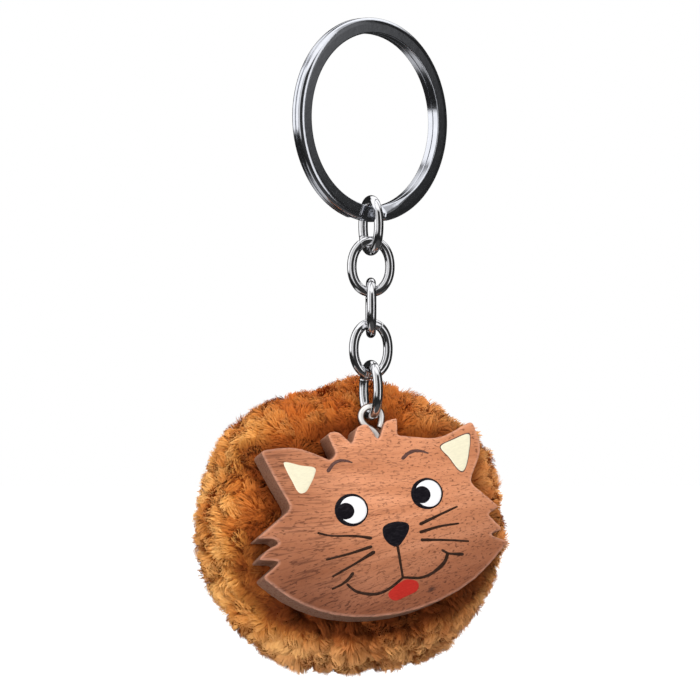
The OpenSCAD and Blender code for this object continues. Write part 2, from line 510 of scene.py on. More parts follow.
def screw_eye():
    """A wire bent into a teardrop on a threaded shank, with its cut end against the neck."""
    bow = [[EYE_R * math.cos(a), EYE_R * math.sin(a)] for a in np.radians(np.arange(-30, 215, 15))]
    line = spline([[0.70, -1.95], [1.06, -1.40], *bow, [-1.02, -1.35], [-0.46, -1.95],
                   [-0.08, -2.6], [0, -3.2], [0, SHANK_Z]], 8)
    path = np.stack([line[:, 0], np.zeros(len(line)), line[:, 1]], -1)
    heading = tangents(path)
    side = np.stack([heading[:, 2], np.zeros(len(line)), -heading[:, 0]], -1)
    size = np.full(len(path), EYE_WIRE)
    size[:3] *= [0.72, 0.93, 1.0]
    points, faces = sweep(path, side, np.array([0, 1, 0]), circle(24) * size[:, None, None])
    turns = THREAD_L / THREAD_PITCH
    rings, sides = 220, 24
    down = np.linspace(0, 1, rings)
    angle = np.arange(sides) * TURN / sides
    phase = (down[:, None] * turns - angle[None] / TURN) % 1
    ridge = 1 - np.abs(2 * phase - 1)
    radius = THREAD_ROOT + THREAD_DEPTH * ridge * ease(down * 12)[:, None]
    radius = radius * (1 - 0.75 * ease((down - 0.86) / 0.14))[:, None]
    z = SHANK_Z - down * THREAD_L
    screw = np.stack([
        radius * np.cos(angle), radius * np.sin(angle), np.broadcast_to(z[:, None], radius.shape),
    ], -1).reshape(-1, 3)
    offset = len(points)
    tip = np.arange(sides)[None] + (rings - 1) * sides
    faces += [grid_faces(rings, sides) + offset, tip + offset]
    everything = on_eye(np.vstack([points, screw]))
    make("eye_wire", everything, faces, eye_metal, "head",
         replaces=["screw_eye"], attributes={"place": everything})


screw_eye()

# ---- wooden face

WOOD_FRONT = -2.25
WOOD_BACK = 4.25
WOOD_VOXEL = 0.19
FIT_ABOUT = np.array([-1.5, 0.0, -14.0])
FIT = np.array([0.99, 1.0, 0.98])
RIM_REACH = 0.45
WALL_SLICE = (1.2, 3.0)
KNOT_AT = (2.0, 0.0, -27.3)
KNOT_SIZE = (0.909, 10.0, 0.417)
KNOT_TURN = math.radians(-25)


def pores(slope, across):
    """How much of a place is an open pore: streaks and dashes to the left, dots to the right."""
    dashes = noise(stretched(slope, (1.15, 1.6, 6.6)), 1, 2, 0.45, 0.25)
    dots = noise(stretched(slope, (1.7, 2.2, 3.7), (3, 1, 7)), 1, 2, 0.4)
    streaks = noise(stretched(slope, (0.22, 0.8, 4.6), (5, 2, 1)), 1, 3, 0.5, 0.2)
    leftness = between(across, -12.0, 6.0, 1.0, 0.0)
    rightness = maths("SUBTRACT", 1.2, leftness, clamp=True)
    dashes = ramp(dashes, [(0.600, 0.0), (0.680, 1.0)])
    dashes = times(dashes, plus(leftness, 0.50), clamp=True)
    dots = times(ramp(dots, [(0.600, 0.0), (0.648, 1.0)]), rightness)
    streaks = times(ramp(streaks, [(0.545, 0.0), (0.650, 1.0)]), leftness)
    short = maths("MAXIMUM", dashes, dots)
    return maths("MAXIMUM", short, times(streaks, 0.8), clamp=True)


def knot(board):
    """How much of a place is the small dark knot beside the mouth."""
    arm = node("Mapping", {
        "Vector": board, "Location": KNOT_AT, "Rotation": (0, KNOT_TURN, 0), "Scale": KNOT_SIZE,
    }, vector_type="TEXTURE").outputs[0]
    away = node("VectorMath", {0: arm}, operation="LENGTH").outputs["Value"]
    return ramp(away, [(0.35, 1.0), (0.95, 0.0)])


def wood_material():
    """Open-pored reddish hardwood: a turning grain, worn pale rims, dull walls, painted shade low and
    left, darker right.
    """
    material, shader = new_material("hardwood", specular_ior_level=0.35)
    board = attribute(shader, "board")
    rim = attribute(shader, "rim", "Fac")
    wall = attribute(shader, "wall", "Fac")
    parts = node("SeparateXYZ", {0: board}).outputs
    across, height = parts["X"], parts["Z"]
    tilt = between(height, -9.0, -28.0, -0.17, 0.20)
    drop = maths("MULTIPLY_ADD", across, times(tilt, -1.0), height)
    slope = node("CombineXYZ", {0: across, 1: parts["Y"], 2: drop}).outputs[0]
    bands = noise(stretched(slope, (0.045, 0.10, 0.34)), 1, 4, 0.55, 0.6)
    fibre = noise(stretched(slope, (0.35, 1.2, 5.5)), 1, 5, 0.65, 0.3)
    colour = ramp(bands, [
        (0.30, (0.430, 0.165, 0.075)), (0.52, (0.550, 0.232, 0.115)), (0.74, (0.660, 0.300, 0.162)),
    ])
    colour = mix(times(fibre, 0.55), colour, (0.330, 0.115, 0.055))
    marks = pores(slope, across)
    colour = mix(times(marks, 0.68), colour, (0.110, 0.034, 0.018))
    colour = mix(times(knot(board), 0.8), colour, (0.055, 0.028, 0.026))
    colour = mix(times(wall, 0.72), colour, (0.215, 0.110, 0.072))
    # Painted shade, mostly on the face: darker towards the chin and towards the left. It is also
    # darker towards the right.
    face = maths("MULTIPLY_ADD", wall, -0.75, 1.0)
    low = times(between(height, -12.0, -29.0, kind="SMOOTHSTEP"), face)
    colour = mix(low, colour, (0.39, 0.32, 0.30), "MULTIPLY")
    left = times(between(across, -5.0, -16.0, 0.0, 0.75), face)
    colour = mix(left, colour, (0.49, 0.43, 0.41), "MULTIPLY")
    right = between(across, 5.0, 13.0, 0.0, 0.5)
    colour = mix(right, colour, (0.76, 0.73, 0.70), "MULTIPLY")
    worn = times(rim, plus(fibre, 0.25))
    colour = mix(times(worn, 0.48, clamp=True), colour, (0.66, 0.36, 0.255))
    rough = plus(times(marks, 0.25), 0.47)
    relief = maths("SUBTRACT", times(fibre, 0.35), marks)
    plug(
        shader,
        Base_Color=colour,
        Roughness=plus(rough, times(fibre, 0.12)),
        Normal=bump(relief, 0.07, 0.8),
    )
    return material


def on_board(points):
    """Points of the head's frame on the sanded board, which is a hair smaller than it was sawn."""
    return on_head(FIT_ABOUT + (points - FIT_ABOUT) * FIT)


def vectors_of(collection, key):
    """A mesh's vectors as an (n, 3) array."""
    values = np.empty(len(collection) * 3, np.float32)
    collection.foreach_get(key, values)
    return values.reshape(-1, 3)


def edge_lines(points, normals):
    """Points on the sawn outline, laid flat, from a slice of the wall behind the pilot hole."""
    sideways = np.abs(normals[:, 1]) < 0.4
    in_slice = (points[:, 1] > WALL_SLICE[0]) & (points[:, 1] < WALL_SLICE[1])
    return points[sideways & in_slice] * np.array([1, 0, 1])


def outline_reach(outline, points):
    """How far points are from the sawn outline, seen from the front."""
    return np.array([outline.find((x, 0, z))[2] for x, _, z in points])


def wooden_face():
    """The sawn board with softly worn edges, remeshed from the CAD node. Returns its outline."""
    source = frame["nodes"]["wooden_face"]
    piece = bpy.data.objects.new("cat_face", source.data.copy())
    scene.collection.objects.link(piece)
    remesh = piece.modifiers.new("remesh", "REMESH")
    remesh.mode = "VOXEL"
    remesh.voxel_size = WOOD_VOXEL * MM
    smooth = piece.modifiers.new("smooth", "SMOOTH")
    smooth.factor = 0.5
    smooth.iterations = 8
    formed = piece.evaluated_get(bpy.context.evaluated_depsgraph_get())
    mesh = bpy.data.meshes.new_from_object(formed)
    piece.modifiers.clear()
    piece.data = mesh
    mesh.materials.clear()
    mesh.materials.append(wood_material())
    mesh.shade_smooth()
    local = from_head(vectors_of(mesh.vertices, "co") / MM)
    normal = vectors_of(mesh.vertex_normals, "vector") @ head_turn
    outline = kd_tree(edge_lines(local, normal))
    reach = outline_reach(outline, local)
    near_face = np.minimum(local[:, 1] - WOOD_FRONT, WOOD_BACK - local[:, 1])
    rim = np.clip(1 - reach / RIM_REACH, 0, 1) * np.clip(1 - near_face / RIM_REACH, 0, 1)
    wall = ease(1 - np.abs(normal[:, 1]) * 1.25)
    mesh.vertices.foreach_set("co", (on_board(local) * MM).astype(np.float32).ravel())
    add_attributes(mesh, {"board": local, "rim": rim, "wall": wall})
    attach(piece, "head")
    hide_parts("wooden_face")
    return outline


wood_outline = wooden_face()

# ---- painted features


def paint_material(name, colour, roughness, mottle, gleam):
    """Hand-laid paint: streaky colour, brush ridges and an uneven gloss."""
    material, shader = new_material(name, specular_ior_level=gleam)
    board = attribute(shader, "board")
    strokes = noise(stretched(board, (1.1, 1, 4.5)), 1.4, 4, 0.6, 0.5)
    grains = noise(board, 7, 3, 0.6)
    lighter = tuple(min(1, c * (1 + mottle) + 0.02 * mottle) for c in colour)
    plug(
        shader,
        Base_Color=ramp(strokes, [
            (0.30, scaled(colour, 1 - mottle)), (0.50, colour), (0.72, lighter),
        ]),
        Roughness=plus(times(grains, 0.22), roughness),
        Normal=bump(plus(strokes, grains), 0.02),
    )
    return material


PAINTS = {
    "black": ((0.005, 0.004, 0.006), 0.36, 0.5, 0.12),
    "line": ((0.022, 0.010, 0.006), 0.42, 0.4, 0.1),
    "brow": ((0.080, 0.038, 0.031), 0.50, 0.35, 0.2),
    "white": ((0.61, 0.60, 0.61), 0.38, 0.04, 0.4),
    "cream": ((0.57, 0.53, 0.39), 0.45, 0.07, 0.4),
    "red": ((0.290, 0.012, 0.007), 0.40, 0.16, 0.3),
}
paint = {name: paint_material("paint_" + name, *look) for name, look in PAINTS.items()}
SUNK = 0.04
BLOB_RINGS = 7
BLOB_STEPS = 8
STROKE_HEIGHT = 0.07
STROKE_FULL = 1.28
STROKE_UNEVEN = 0.12


def raised(flat, rise):
    """Points that stand off the wood's front face, from x, z points and their heights."""
    depth = np.broadcast_to(WOOD_FRONT - rise, flat.shape[:2])
    return np.stack([flat[..., 0], depth, flat[..., 1]], -1)


def painted(name, points, faces, colour):
    """A piece of paint from points of the head's frame."""
    make(name, on_board(points), faces, paint[colour], "head", attributes={"board": points})


def wobble(angle, amount, seed):
    """Small unevenness of a hand-drawn edge."""
    r = np.random.default_rng(seed)
    total = np.zeros_like(angle)
    for k in (2, 3, 5, 8):
        total += r.normal() / k * np.sin(k * angle + r.uniform(0, TURN))
    return amount * total


def blob(name, outline, height, colour, seed, layer=0.0, amount=0.05):
    """A filled patch of paint with a rounded edge: outline holds x, z corners."""
    edge = spline(outline, BLOB_STEPS, closed=True)
    centre = edge.mean(0)
    arm = edge - centre
    angle = np.arctan2(arm[:, 1], arm[:, 0])
    arm = arm + unit(arm) * wobble(angle, amount, seed)[:, None]
    share = np.sin(np.linspace(0.5, 0, BLOB_RINGS) * math.pi)
    lift = (1 - share**6) ** 0.5 * height + layer
    lift[0] = -SUNK
    rows = raised(centre + arm * share[:, None, None], lift[:, None])
    points, faces = capped(rows[:-1], rows[-1, 0])
    painted(name, points, faces, colour)


def ellipse(x, z, across, high):
    """Corners of an ellipse of given full sizes."""
    return np.array([x, z]) + circle(20) * np.array([across, high]) / 2


def stroke(name, points, widths, colour, seed):
    """A brush line through x, z points with a width at each, and round ends."""
    r = np.random.default_rng(seed)
    line = spline(points, 10)
    width = np.interp(np.linspace(0, 1, len(line)), np.linspace(0, 1, len(widths)), widths)
    grain = np.convolve(r.normal(size=len(line) + 4), np.ones(5) / 5, "valid")
    width = width * (STROKE_FULL + STROKE_UNEVEN * grain)
    way = tangents(line)
    start = line[0] - way[0] * width[0] * np.array([[0.5], [0.4], [0.2]])
    stop = line[-1] + way[-1] * width[-1] * np.array([[0.2], [0.4], [0.5]])
    line = np.vstack([start, line, stop])
    ends = np.array([0.12, 0.6, 0.9])
    width = np.concatenate([width[0] * ends, width, width[-1] * ends[::-1]])
    way = tangents(line)
    across = np.column_stack([-way[:, 1], way[:, 0]])
    steps = np.linspace(-1, 1, 7)
    dome = np.concatenate([[-SUNK], np.sqrt(1 - steps[1:-1] ** 2) * STROKE_HEIGHT, [-SUNK]])
    flat = line[:, None] + across[:, None] * (width[:, None, None] / 2 * steps[:, None])
    ridge = raised(flat, dome).reshape(-1, 3)
    painted(name, ridge, [grid_faces(len(line), len(steps), wrap_columns=False)], colour)


def eye(name, x, z, across, high, white, pupil, pupil_size, seed):
    """A white disc in a black outline, with a pupil that touches its left side."""
    blob(f"{name}_outline", ellipse(x, z, across, high), 0.06, "black", seed, 0.0, 0.03)
    blob(f"{name}_white", ellipse(*white), 0.05, "white", seed + 1, 0.045, 0.03)
    blob(f"{name}_pupil", ellipse(*pupil, *pupil_size), 0.06, "black", seed + 2, 0.085, 0.03)


eye("left_eye", -6.85, -13.12, 5.2, 5.0, (-6.62, -13.15, 4.25, 4.2), (-7.75, -13.1), (2.62, 2.6), 1)
eye("right_eye", 4.88, -13.2, 4.95, 4.85, (5.08, -13.22, 4.05, 4.15), (4.05, -13.2), (2.75, 2.65), 5)

blob("left_ear_patch", [
    [-15.0, -3.95], [-12.9, -4.85], [-10.7, -5.75], [-11.0, -6.9], [-12.0, -8.2], [-12.9, -9.05],
    [-13.9, -8.9], [-14.5, -7.2], [-14.95, -5.4],
], 0.06, "cream", 9, amount=0.04)
RIGHT_EAR = np.array([
    [8.6, -6.75], [10.9, -6.1], [13.2, -5.75], [13.3, -6.8], [12.7, -8.5], [11.8, -10.3],
    [11.1, -11.1], [10.4, -10.7], [9.5, -8.7],
])
EAR_LINE = 1.07
ear_middle = RIGHT_EAR.mean(0)
blob("right_ear_line", ear_middle + (RIGHT_EAR - ear_middle) * EAR_LINE, 0.03, "brow", 10)
blob("right_ear_patch", RIGHT_EAR, 0.05, "cream", 10, 0.03, 0.04)
blob("nose", [
    [-3.1, -17.3], [-2.7, -16.55], [-1.6, -16.2], [-0.2, -16.35], [0.95, -16.9], [0.95, -17.8],
    [0.1, -18.9], [-1.3, -19.95], [-2.4, -19.5], [-3.05, -18.4],
], 0.09, "black", 11, amount=0.03)
blob("tongue", [
    [-2.2, -25.15], [-1.1, -25.0], [0.1, -25.5], [0.35, -26.3], [-0.3, -27.1], [-1.8, -27.45],
    [-3.6, -27.75], [-4.45, -27.2], [-4.5, -26.4], [-3.6, -25.8],
], 0.05, "red", 12, amount=0.03)

LINES = {
    "left_brow": ([(-8.8, -6.6), (-7.8, -5.8), (-6.7, -5.55), (-5.7, -5.85), (-5.1, -6.2)],
                  (0.50, 0.46, 0.38, 0.22), "brow"),
    "right_brow": ([(2.7, -7.2), (3.6, -6.7), (4.7, -6.55), (5.7, -6.85), (6.5, -7.3)],
                   (0.50, 0.46, 0.38, 0.22), "brow"),
    "nose_line": ([(-1.35, -19.7), (-1.55, -22.1), (-1.75, -24.55)], (0.42, 0.34, 0.36), "line"),
    "mouth_left": ([(-1.7, -24.6), (-3.7, -25.6), (-5.5, -26.1), (-7.1, -25.95), (-8.9, -25.2),
                    (-9.7, -24.4), (-10.1, -23.8)], (0.36, 0.38, 0.42, 0.38, 0.34), "line"),
    "mouth_left_tick": ([(-9.0, -22.4), (-9.9, -23.1), (-11.0, -23.6), (-12.4, -23.9)],
                        (0.44, 0.40, 0.34, 0.28), "line"),
    "mouth_right": ([(-1.7, -24.6), (0.6, -25.2), (2.2, -25.1), (3.8, -24.5), (5.0, -23.7),
                     (5.7, -22.7)], (0.34, 0.36, 0.44, 0.50, 0.40), "line"),
    "mouth_right_tick": ([(5.1, -22.0), (5.8, -22.6), (6.7, -22.9), (7.8, -23.2)],
                         (0.34, 0.30, 0.40, 0.48), "line"),
    "whisker_left_1": ([(-12.5, -15.4), (-10.7, -16.2), (-7.3, -17.0), (-5.1, -17.8)],
                       (0.30, 0.26, 0.32, 0.46), "line"),
    "whisker_left_2": ([(-12.2, -19.5), (-8.8, -19.4), (-5.4, -19.1)], (0.30, 0.32, 0.46), "line"),
    "whisker_left_3": ([(-11.9, -22.1), (-8.5, -21.1), (-5.2, -20.0)], (0.30, 0.34, 0.48), "line"),
    "whisker_right_1": ([(2.9, -17.4), (6.0, -16.7), (8.8, -16.1)], (0.46, 0.32, 0.28), "line"),
    "whisker_right_2": ([(2.6, -18.6), (5.6, -18.4), (8.4, -18.6)], (0.44, 0.32, 0.28), "line"),
    "whisker_right_3": ([(2.5, -19.8), (5.6, -20.5), (9.2, -21.5)], (0.44, 0.32, 0.28), "line"),
}
for seed, (name, (points, widths, colour)) in enumerate(LINES.items()):
    stroke(name, points, widths, colour, 20 + seed)

# ---- plush ball

BALL = np.array([-3.55, 16.0, -13.9])
BALL_WIDE = 1.08
CORE = np.array([BALL[0], 14.5, BALL[2]])
BASE_PROFILE = [
    (0.0, 27.9), (4.5, 27.6), (9.0, 26.7), (13.6, 24.7), (17.3, 21.6), (19.6, 17.8), (20.3, 14.2),
    (19.8, 10.6), (18.2, 7.6), (16.0, 5.9), (13.2, 5.1), (10.2, 5.0), (7.2, 5.4), (5.4, 6.2),
    (4.7, 7.4), (4.5, 9.0),
]
BULGES = [
    (76, 1.3, 5), (92, -0.6, 7), (130, 1.0, 20), (226, 0.8, 16), (258, 0.3, 20), (296, 0.9, 18),
    (50, -0.7, 14),
]
PLEATS = 19
PLEAT_DEPTH = 0.45
WAVES = 26
MOUTH_ROWS = 150
ROUND = 288


def lumps(points, size, seed):
    """A smooth random field of about -1 to 1 over points, from a sum of seeded waves."""
    r = np.random.default_rng(seed)
    waves = unit(r.normal(size=(WAVES, 3))) * (TURN / size) * r.uniform(0.7, 1.3, (WAVES, 1))
    phase = r.uniform(0, TURN, WAVES)
    return np.sin(points @ waves.T + phase).sum(-1) / math.sqrt(WAVES)


def base_surface():
    """Grid of points of the stuffed cover under its pile, from the back pole to the mouth."""
    line = spline(BASE_PROFILE, 12)
    arc = np.concatenate([[0], np.cumsum(np.linalg.norm(np.diff(line, axis=0), axis=1))])
    even = np.linspace(0, arc[-1], MOUTH_ROWS)
    rho = np.interp(even, arc, line[:, 0])
    depth = np.interp(even, arc, line[:, 1])
    a = np.arange(ROUND) * TURN / ROUND
    front = ease((13.0 - depth) / 8)
    fade = ease((rho - 3) / 5) * front
    pleat = np.cos(PLEATS * a[None] + 1.3 * np.sin(3 * a)[None] + 0.05 * rho[:, None])
    points = np.stack([
        BALL[0] + rho[:, None] * np.cos(a) * BALL_WIDE,
        depth[:, None] + PLEAT_DEPTH * fade[:, None] * pleat,
        BALL[2] + rho[:, None] * np.sin(a),
    ], -1)
    swell = ease(rho / 6)[:, None] * (0.34 * lumps(points, 9.5, 3) + 0.2 * lumps(points, 5.0, 4))
    out = unit(points - CORE)
    around = np.degrees(np.arctan2(out[..., 2], out[..., 0]))
    edge = ease((rho - 12) / 7)[:, None]
    for at, rise, wide in BULGES:
        off = (around - at + 180) % 360 - 180
        swell = swell + edge * rise * np.exp(-((off / wide) ** 2))
    return points + out * swell[..., None]


def surface_normals(points):
    """Unit normals of a wrapped grid, away from the ball's middle."""
    along = np.gradient(points, axis=0)
    round_ = np.roll(points, -1, 1) - np.roll(points, 1, 1)
    normal = unit(np.cross(along, round_))
    flip = np.sign((normal * (points - CORE)).sum(-1))[..., None]
    return normal * np.where(flip == 0, 1, flip)


def plush_material(name, relief):
    """Fibres coloured by attributes: painted shade from root to tip, each tuft's own tint, painted
    light and shadow.
    """
    material, shader = new_material(
        name, roughness=0.8, specular_ior_level=0.08, sheen_weight=0.12, sheen_roughness=0.4,
    )
    shader.inputs["Sheen Tint"].default_value = (1.0, 0.55, 0.22, 1)
    shade = attribute(shader, "shade", "Fac")
    colour = ramp(shade, [
        (0.0, (0.080, 0.016, 0.003)), (0.20, (0.280, 0.066, 0.010)), (0.38, (0.500, 0.155, 0.025)),
        (0.64, (0.690, 0.275, 0.055)), (1.0, (0.840, 0.450, 0.145)),
    ])
    # A lower tint deepens the colour towards a dark red: the tufts' own tone, and painted shade near
    # the wood, over the top, below and to the right.
    red = mix(0.7, colour, (0.410, 0.074, 0.010))
    colour = mix(attribute(shader, "tint", "Fac"), red, colour)
    # Painted light: paler towards a warm cream on the right side and the lower rim.
    pale = times(attribute(shader, "pale", "Fac"), shade)
    colour = mix(pale, colour, (0.80, 0.48, 0.22))
    # Painted shadow of the board: the colour turns near black-red where it falls.
    plug(
        shader,
        Base_Color=mix(attribute(shader, "painted_shadow", "Fac"), colour, (0.100, 0.018, 0.004)),
        Normal=bump(noise(attribute(shader, "place"), 6, 3, 0.6), relief),
    )
    return material


backing = plush_material("plush_backing", 0.12)
pile = plush_material("plush_pile", 0.02)


def from_ball(points):
    """How far points are right of the ball's middle, into the head, above it and off its axis."""
    x, z = points[..., 0] - BALL[0], points[..., 2] - BALL[2]
    return x, points[..., 1], z, np.hypot(x, z)


def painted_pale_light(points):
    """How much painted pale light a place on the ball gets: its right side and its lower rim."""
    x, _, z, rho = from_ball(points)
    return np.clip(0.30 * ease((-8 - z) / 13) * ease((rho - 16) / 6) + 0.22 * ease((x - 9) / 9), 0, 1)


def painted_rim_light(points):
    """How much painted rim light a place on the ball gets: how near it is to its outline, seen from
    the front.
    """
    return ease((from_ball(points)[3] - 19.5) / 2)


def painted_light(points):
    """Painted light and shade on the ball: lighter low, right and behind up, darker over the crown.
    """
    x, y, z, _ = from_ball(points)
    low, right, behind = ease((-11 - z) / 6), ease((x - 12) / 6), ease((y - 12) / 4)
    crown = ease((z - 11) / 7) * ease((14 - y) / 4)
    return np.maximum.reduce([1.25 * low, 0.3 * right, 0.9 * behind]) - 0.45 * crown


def painted_red_shade(points):
    """How deep a red of painted shade a place on the ball gets: near the wood, over the top, below
    and to the right.
    """
    x, y, z, rho = from_ball(points)
    near = ease((20.5 - rho) / 5) * ease((15 - y) / 5)
    top = ease((z - 10) / 9) * ease((x + 13) / 7)
    low, right = ease((-12 - z) / 6), ease((x - 10) / 7)
    return np.clip(0.9 * near + top + 0.6 * low + 0.4 * right, 0, 1)


def scatter(grid, normals, count, weights_by):
    """Random places on a wrapped grid: points and normals, denser where weights_by says so."""
    a, b, c = grid[:-1], np.roll(grid, -1, 1)[:-1], grid[1:]
    area = np.linalg.norm(np.cross(b - a, c - a), axis=-1)
    weight = (area * weights_by(a)).ravel()
    cell = rng.choice(len(weight), count, p=weight / weight.sum())
    row, column = np.divmod(cell, ROUND)
    after = (column + 1) % ROUND
    s, t = rng.random((count, 1)), rng.random((count, 1))

    def at(values):
        top = values[row, column] * (1 - s) + values[row, after] * s
        low = values[row + 1, column] * (1 - s) + values[row + 1, after] * s
        return top * (1 - t) + low * t

    return at(grid), unit(at(normals))


def spaced(points, gap):
    """Indices of points that keep a gap from each other, taken in order."""
    tree = kd_tree(points)
    free = np.ones(len(points), bool)
    kept = []
    for index, p in enumerate(points):
        if free[index]:
            kept.append(index)
            for _, other, _ in tree.find_range(p, gap):
                free[other] = False
    return np.array(kept)


TUFT_TRIES = 9000
TUFT_GAP = 1.75
TUFT_REACH = 1.4
TUFT_RISE = 0.8
TUFT_MIX = 0.20
# Share of painted shadow that darkens the plush beside and below the board.
PAINTED_SHADOW = 0.52

smooth_grid = base_surface()
smooth_normals = surface_normals(smooth_grid)
tuft_points, tuft_normals = scatter(smooth_grid, smooth_normals, TUFT_TRIES, lambda p: 1.0)
chosen = spaced(tuft_points, TUFT_GAP)
tuft_points, tuft_normals = tuft_points[chosen], tuft_normals[chosen]
tuft_tree = kd_tree(tuft_points)
tuft_rise = TUFT_RISE * np.random.default_rng(5).uniform(0.45, 1.25, len(tuft_points))


def tufted(grid, normals):
    """The cover raised into a soft bump round each tuft."""
    lift = np.zeros(grid.shape[:2])
    for row, line in enumerate(grid):
        for column, p in enumerate(line):
            _, index, distance = tuft_tree.find(p)
            lift[row, column] = tuft_rise[index] * max(0.0, 1 - (distance / TUFT_REACH) ** 2)
    return grid + normals * lift[..., None]


def painted_wood_shadow(points):
    """How much painted shadow of the board places on the ball get: most in its notch and below it."""
    x, y, z = points.T
    reach = outline_reach(wood_outline, points)
    notch = np.exp(-((x + 2.5) / 5.5) ** 2 - ((z + 2.9) / 2.2) ** 2)
    close = 0.7 * ease(1.15 - reach / 3.0) + 0.45 * ease(1.3 - reach / 1.8)
    under = 0.6 * ease((-21 - z) / 6) * ease(1.2 - reach / 2.3)
    return np.clip(close + 0.6 * notch + under, 0, 1.5) * ease((13 - y) / 6)


def plush_cover():
    """Backing fabric, gathered at the front, as a closed padded form. Returns its grid."""
    grid = tufted(smooth_grid, smooth_normals)
    points, faces = capped(grid, grid[-1].mean(0))
    # The backing takes the dark colour of the fibre roots, as painted shade under the pile.
    shade = 0.25 + 0.05 * lumps(points, 2.0, 8)
    piece = make("plush_backing", on_head(points), faces, backing, "head",
                 replaces=["plush_cover"],
                 attributes={"place": points, "shade": shade, "tint": np.full_like(shade, 0.4),
                             "pale": np.zeros_like(shade), "painted_shadow": PAINTED_SHADOW * painted_wood_shadow(points)})
    piece.visible_glossy = False
    return grid


cover_grid = plush_cover()
cover_normals = surface_normals(cover_grid)


def visible_share(points):
    """How densely fibres stand: less behind, and hardly any in the mouth."""
    _, depth, _, rho = from_ball(points)
    hidden = (depth < 7) & (rho < 10)
    return np.where(hidden, 0.05, np.where(depth < 17, 1.0, 0.62))


FIBRES = 112000
FIBRE_WIDTH = 0.105
FIBRE_STEPS = np.array([0, 0.38, 0.72, 1.0])
FIBRE_POINTS = 7


def tangent_part(vectors, normals):
    """What is left of vectors when their part along normals is taken away."""
    return vectors - (vectors * normals).sum(-1, keepdims=True) * normals


def grow_pile():
    """Tapered fibres that lean and gather into tufts; returns points, faces and attributes."""
    roots, normals = scatter(cover_grid, cover_normals, FIBRES, visible_share)
    count = len(tuft_points)
    r = np.random.default_rng(21)
    mixed = roots + r.normal(size=roots.shape) * TUFT_MIX
    tuft = np.array([tuft_tree.find(p)[1] for p in mixed])
    away = (roots - BALL) * np.array([1, 0, 1])
    radial = unit(tangent_part(unit(away), normals))
    drift = np.stack([lumps(roots, 7.0, seed) for seed in (41, 42, 43)], -1)
    swirl = tangent_part(unit(r.normal(size=(count, 3)))[tuft] * 1.1 + drift * 0.45, normals)
    seat = ease((10 - roots[:, 1]) / 5)[:, None]
    lean = unit(swirl + radial * (0.25 + 0.5 * seat))
    height = r.uniform(1.1, 1.75, count) * (1 - 0.25 * ease(tuft_points[:, 2] / 6))
    tone = np.clip(0.60 + 0.30 * r.normal(size=count) + 0.22 * lumps(tuft_points, 12, 31), 0, 1)

    own = tuft_points[tuft]
    h = (height[tuft] * r.uniform(0.75, 1.05, FIBRES))[:, None]
    frizz = unit(r.normal(size=(FIBRES, 3)))
    inward = tangent_part(own - roots, normals)
    pull = r.uniform(0.12, 0.66, (FIBRES, 1))
    stand = r.beta(2, 2.2, (FIBRES, 1))
    top = roots + normals * h * 0.95 + lean * h * 0.25 + inward * pull + frizz * 0.22
    tip = roots + normals * h * (0.30 + 0.75 * stand) + lean * h * (1.0 - 0.45 * stand)
    tip = tip + inward * pull + frizz * 0.26

    t = FIBRE_STEPS[:, None]
    line = (1 - t) ** 2 * roots[:, None] + 2 * t * (1 - t) * top[:, None] + t**2 * tip[:, None]
    way = unit(np.gradient(line, axis=1))
    facing = unit(normals + r.normal(size=normals.shape) * 0.2)[:, None]
    across = unit(np.cross(way, facing))
    width = FIBRE_WIDTH * r.uniform(0.7, 1.3, (FIBRES, 1, 1))
    spread = np.array([[0.5], [0.5], [0.42]]) * width
    left = line[:, :3] - across[:, :3] * spread
    right = line[:, :3] + across[:, :3] * spread
    points = np.concatenate([left, right, line[:, 3:]], 1)

    step = np.concatenate([FIBRE_STEPS[:3], FIBRE_STEPS])
    round_over = unit(normals[:, None] + (points - own[:, None]) * 0.20)
    shading = unit(round_over + r.normal(size=(FIBRES, 1, 3)) * 0.07)
    rise = ((roots - own) * tuft_normals[tuft]).sum(-1)
    painted_crest_light = np.clip(1 + rise / TUFT_RISE, 0, 1)
    # Painted shade and light: each fibre is darkest at its root and lightest near its apex, and tips
    # that stand up and the crests of tufts are lighter. Beside the board comes painted shadow, and
    # near the outline a painted rim light, with painted light low, right and behind. Each tuft's tone
    # is its own colour.
    shade = 0.32 + 0.36 * np.sin(step * 1.9) + 0.05 * r.normal(size=(FIBRES, 1))
    shade = shade + 0.16 * step * stand
    shade = shade * (0.42 + 0.34 * tone[tuft] + 0.42 * painted_crest_light)[:, None]
    shade = shade * (1 - 0.35 * painted_wood_shadow(roots))[:, None] + 0.12 * painted_rim_light(roots)[:, None]
    shade = shade + 0.18 * painted_light(roots)[:, None]
    tint = 0.45 + 0.55 * tone[tuft] + 0.04 * r.normal(size=FIBRES) - 0.75 * painted_red_shade(roots)
    return roots, points, shading, np.clip(shade, 0, 1), np.clip(tint, 0, 1)


def over_board(points):
    """Which points lie over or under the sawn outline of the wood."""
    node_mesh = frame["nodes"]["wooden_face"].data
    corners = [v.co for v in node_mesh.vertices]
    board = BVHTree.FromPolygons(corners, [p.vertices[:] for p in node_mesh.polygons])
    start = points * np.array([1, 0, 1]) + np.array([0, WOOD_FRONT - 5, 0])
    into = Vector(head_turn @ np.array([0, 1, 0]))
    return np.array([
        board.ray_cast(Vector(p), into)[0] is not None for p in on_head(start) * MM
    ])


FOLD_CLEARANCE = 0.15
FOLD_REACH = 2 * LINK_B + 4
FRONT_LIMIT = 0.8


def folded_link():
    """Middle line of the last link, in the head's frame, at both ends of the head's swing."""
    joint = joints["head_swing"]
    flat = oval(np.arange(90) * TURN / 90)
    line = flat[:, :1] * turned(math.radians(LINK_YAWS[-1]))[0] + (flat[:, 1:] + LINK_B) * UP
    folded = [
        line @ np.array(Matrix.Rotation(math.radians(-limit), 3, Vector(joint["axis"]))).T
        for limit in joint["range_deg"]
    ]
    return from_head(np.vstack(folded) + head_hinge)


